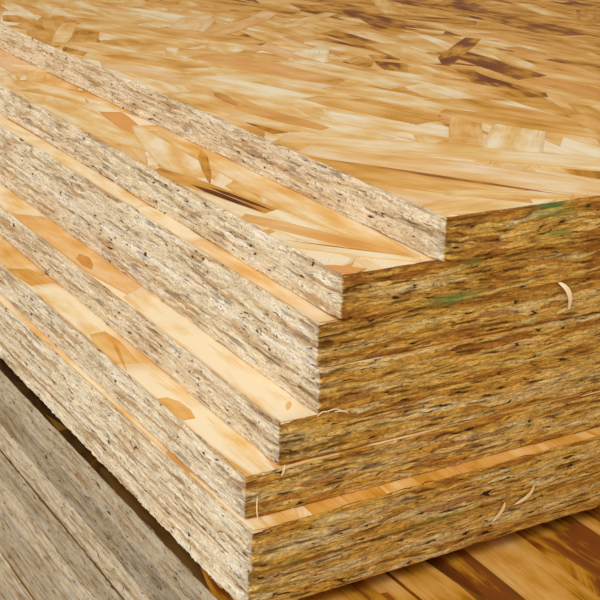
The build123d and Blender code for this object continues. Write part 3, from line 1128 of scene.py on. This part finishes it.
# Softboxes: name, spread in degrees, size, colour, place and target. A grid on the fill light keeps it off the
# floor just in front of it.
SOFTBOXES = (
    ("key_softbox", 180, 1.6, (1.0, 0.985, 0.95), (1.75, -2.0, 1.9), (1.0, -0.4, 0.3)),
    ("fill_softbox", 80, 1.0, (1.0, 0.87, 0.70), (3.4, -0.4, 0.6), (1.1, 0.0, 0.2)),
)
SKY_COLOUR = (1.0, 0.955, 0.88, 1.0)
SKY_SEEN = 0.37  # its strength where the camera sees it
FLOOR_REACH = 40.0


def looking_at(place, target):
    """A matrix at a place whose -Z points at the target and whose Y is as near up as can be."""
    back = (place - target) / np.linalg.norm(place - target)
    right = np.cross((0.0, 0.0, 1.0), back)
    right = right / np.linalg.norm(right)
    matrix = np.eye(4)
    matrix[:3, 0], matrix[:3, 1], matrix[:3, 2], matrix[:3, 3] = right, np.cross(back, right), back, place
    return Matrix(matrix.tolist())


class PILE_OT_stage(bpy.types.Operator):
    """Makes the floor, the lights and the camera"""

    bl_idname = "pile.stage"
    bl_label = "Stage"

    def execute(self, context):
        scene, look = context.scene, context.scene.pile_stage
        mesh = bpy.data.meshes.new("floor")
        corners = [(x * FLOOR_REACH, y * FLOOR_REACH, 0) for x, y in ((-1, -1), (1, -1), (1, 1), (-1, 1))]
        mesh.from_pydata(corners, [], [(0, 1, 2, 3)])
        mesh.materials.append(floor_material(look))
        floor = bpy.data.objects.new("floor", mesh)
        scene.collection.objects.link(floor)

        for power, (name, spread, size, colour, place, target) in zip((look.key_power, look.fill_power), SOFTBOXES):
            light = bpy.data.lights.new(name, "AREA")
            light.shape = "SQUARE"
            light.size = size
            light.energy = power
            light.color = colour
            light.spread = math.radians(spread)
            thing = bpy.data.objects.new(name, light)
            thing.matrix_world = looking_at(np.array(place), np.array(target))
            scene.collection.objects.link(thing)

        scene.world = bpy.data.worlds.new("soft_sky")
        scene.world.use_nodes = True
        tree = scene.world.node_tree
        tree.nodes.clear()
        ray = add_node(tree, "LightPath")
        strength = add_node(tree, "MapRange", ray.outputs["Is Camera Ray"], 0, 1, look.sky, SKY_SEEN)
        add_node(tree, "OutputWorld", add_node(tree, "Background", SKY_COLOUR, strength))

        camera = bpy.data.cameras.new("camera")
        camera.sensor_width = SENSOR_WIDTH
        camera.lens = CAMERA_LENS
        camera.clip_start = 0.01
        thing = bpy.data.objects.new("camera", camera)
        thing.matrix_world = Matrix.Translation(CAMERA_PLACE)
        for degrees, axis in ((CAMERA_HEADING, "Z"), (90 - CAMERA_DOWN, "X"), (CAMERA_ROLL, "Z")):
            thing.matrix_world = thing.matrix_world @ Matrix.Rotation(math.radians(degrees), 4, axis)
        scene.collection.objects.link(thing)
        scene.camera = thing
        scene.view_settings.view_transform = "Standard"
        return {"FINISHED"}


OPERATORS = (PILE_OT_stage, PILE_OT_lower_pack, PILE_OT_strips, PILE_OT_upper_pack, PILE_OT_loose_fibres)


class PILE_PT_panel(bpy.types.Panel):
    """Lists the pieces of the pile"""

    bl_idname = "PILE_PT_panel"
    bl_label = "Board pile"
    bl_space_type = "VIEW_3D"
    bl_region_type = "UI"
    bl_category = "Board pile"

    def draw(self, context):
        for operator in OPERATORS:
            self.layout.operator(operator.bl_idname)
        for group in SETTINGS:
            settings, box = getattr(context.scene, group), self.layout.box()
            for name in settings.bl_rna.properties.keys():
                if name not in ("rna_type", "name"):
                    box.prop(settings, name)


SETTINGS = {"pressed_face": PressedFaceSettings, "sawn_edge": SawnEdgeSettings, "pile_stage": StageSettings}
CLASSES = (*SETTINGS.values(), *OPERATORS, PILE_PT_panel)


def register():
    """Adds the classes and hangs their settings on the scene."""
    for item in CLASSES:
        bpy.utils.register_class(item)
    for name, group in SETTINGS.items():
        setattr(bpy.types.Scene, name, bpy.props.PointerProperty(type=group))


def unregister():
    """Takes off the settings and the classes."""
    for name in SETTINGS:
        delattr(bpy.types.Scene, name)
    for item in reversed(CLASSES):
        bpy.utils.unregister_class(item)


def main():
    """Builds everything in order."""
    register()
    bpy.ops.pile.stage()
    bpy.ops.pile.lower_pack()
    bpy.ops.pile.strips()
    bpy.ops.pile.upper_pack()
    bpy.ops.pile.loose_fibres()


if __name__ == "__main__":
    main()
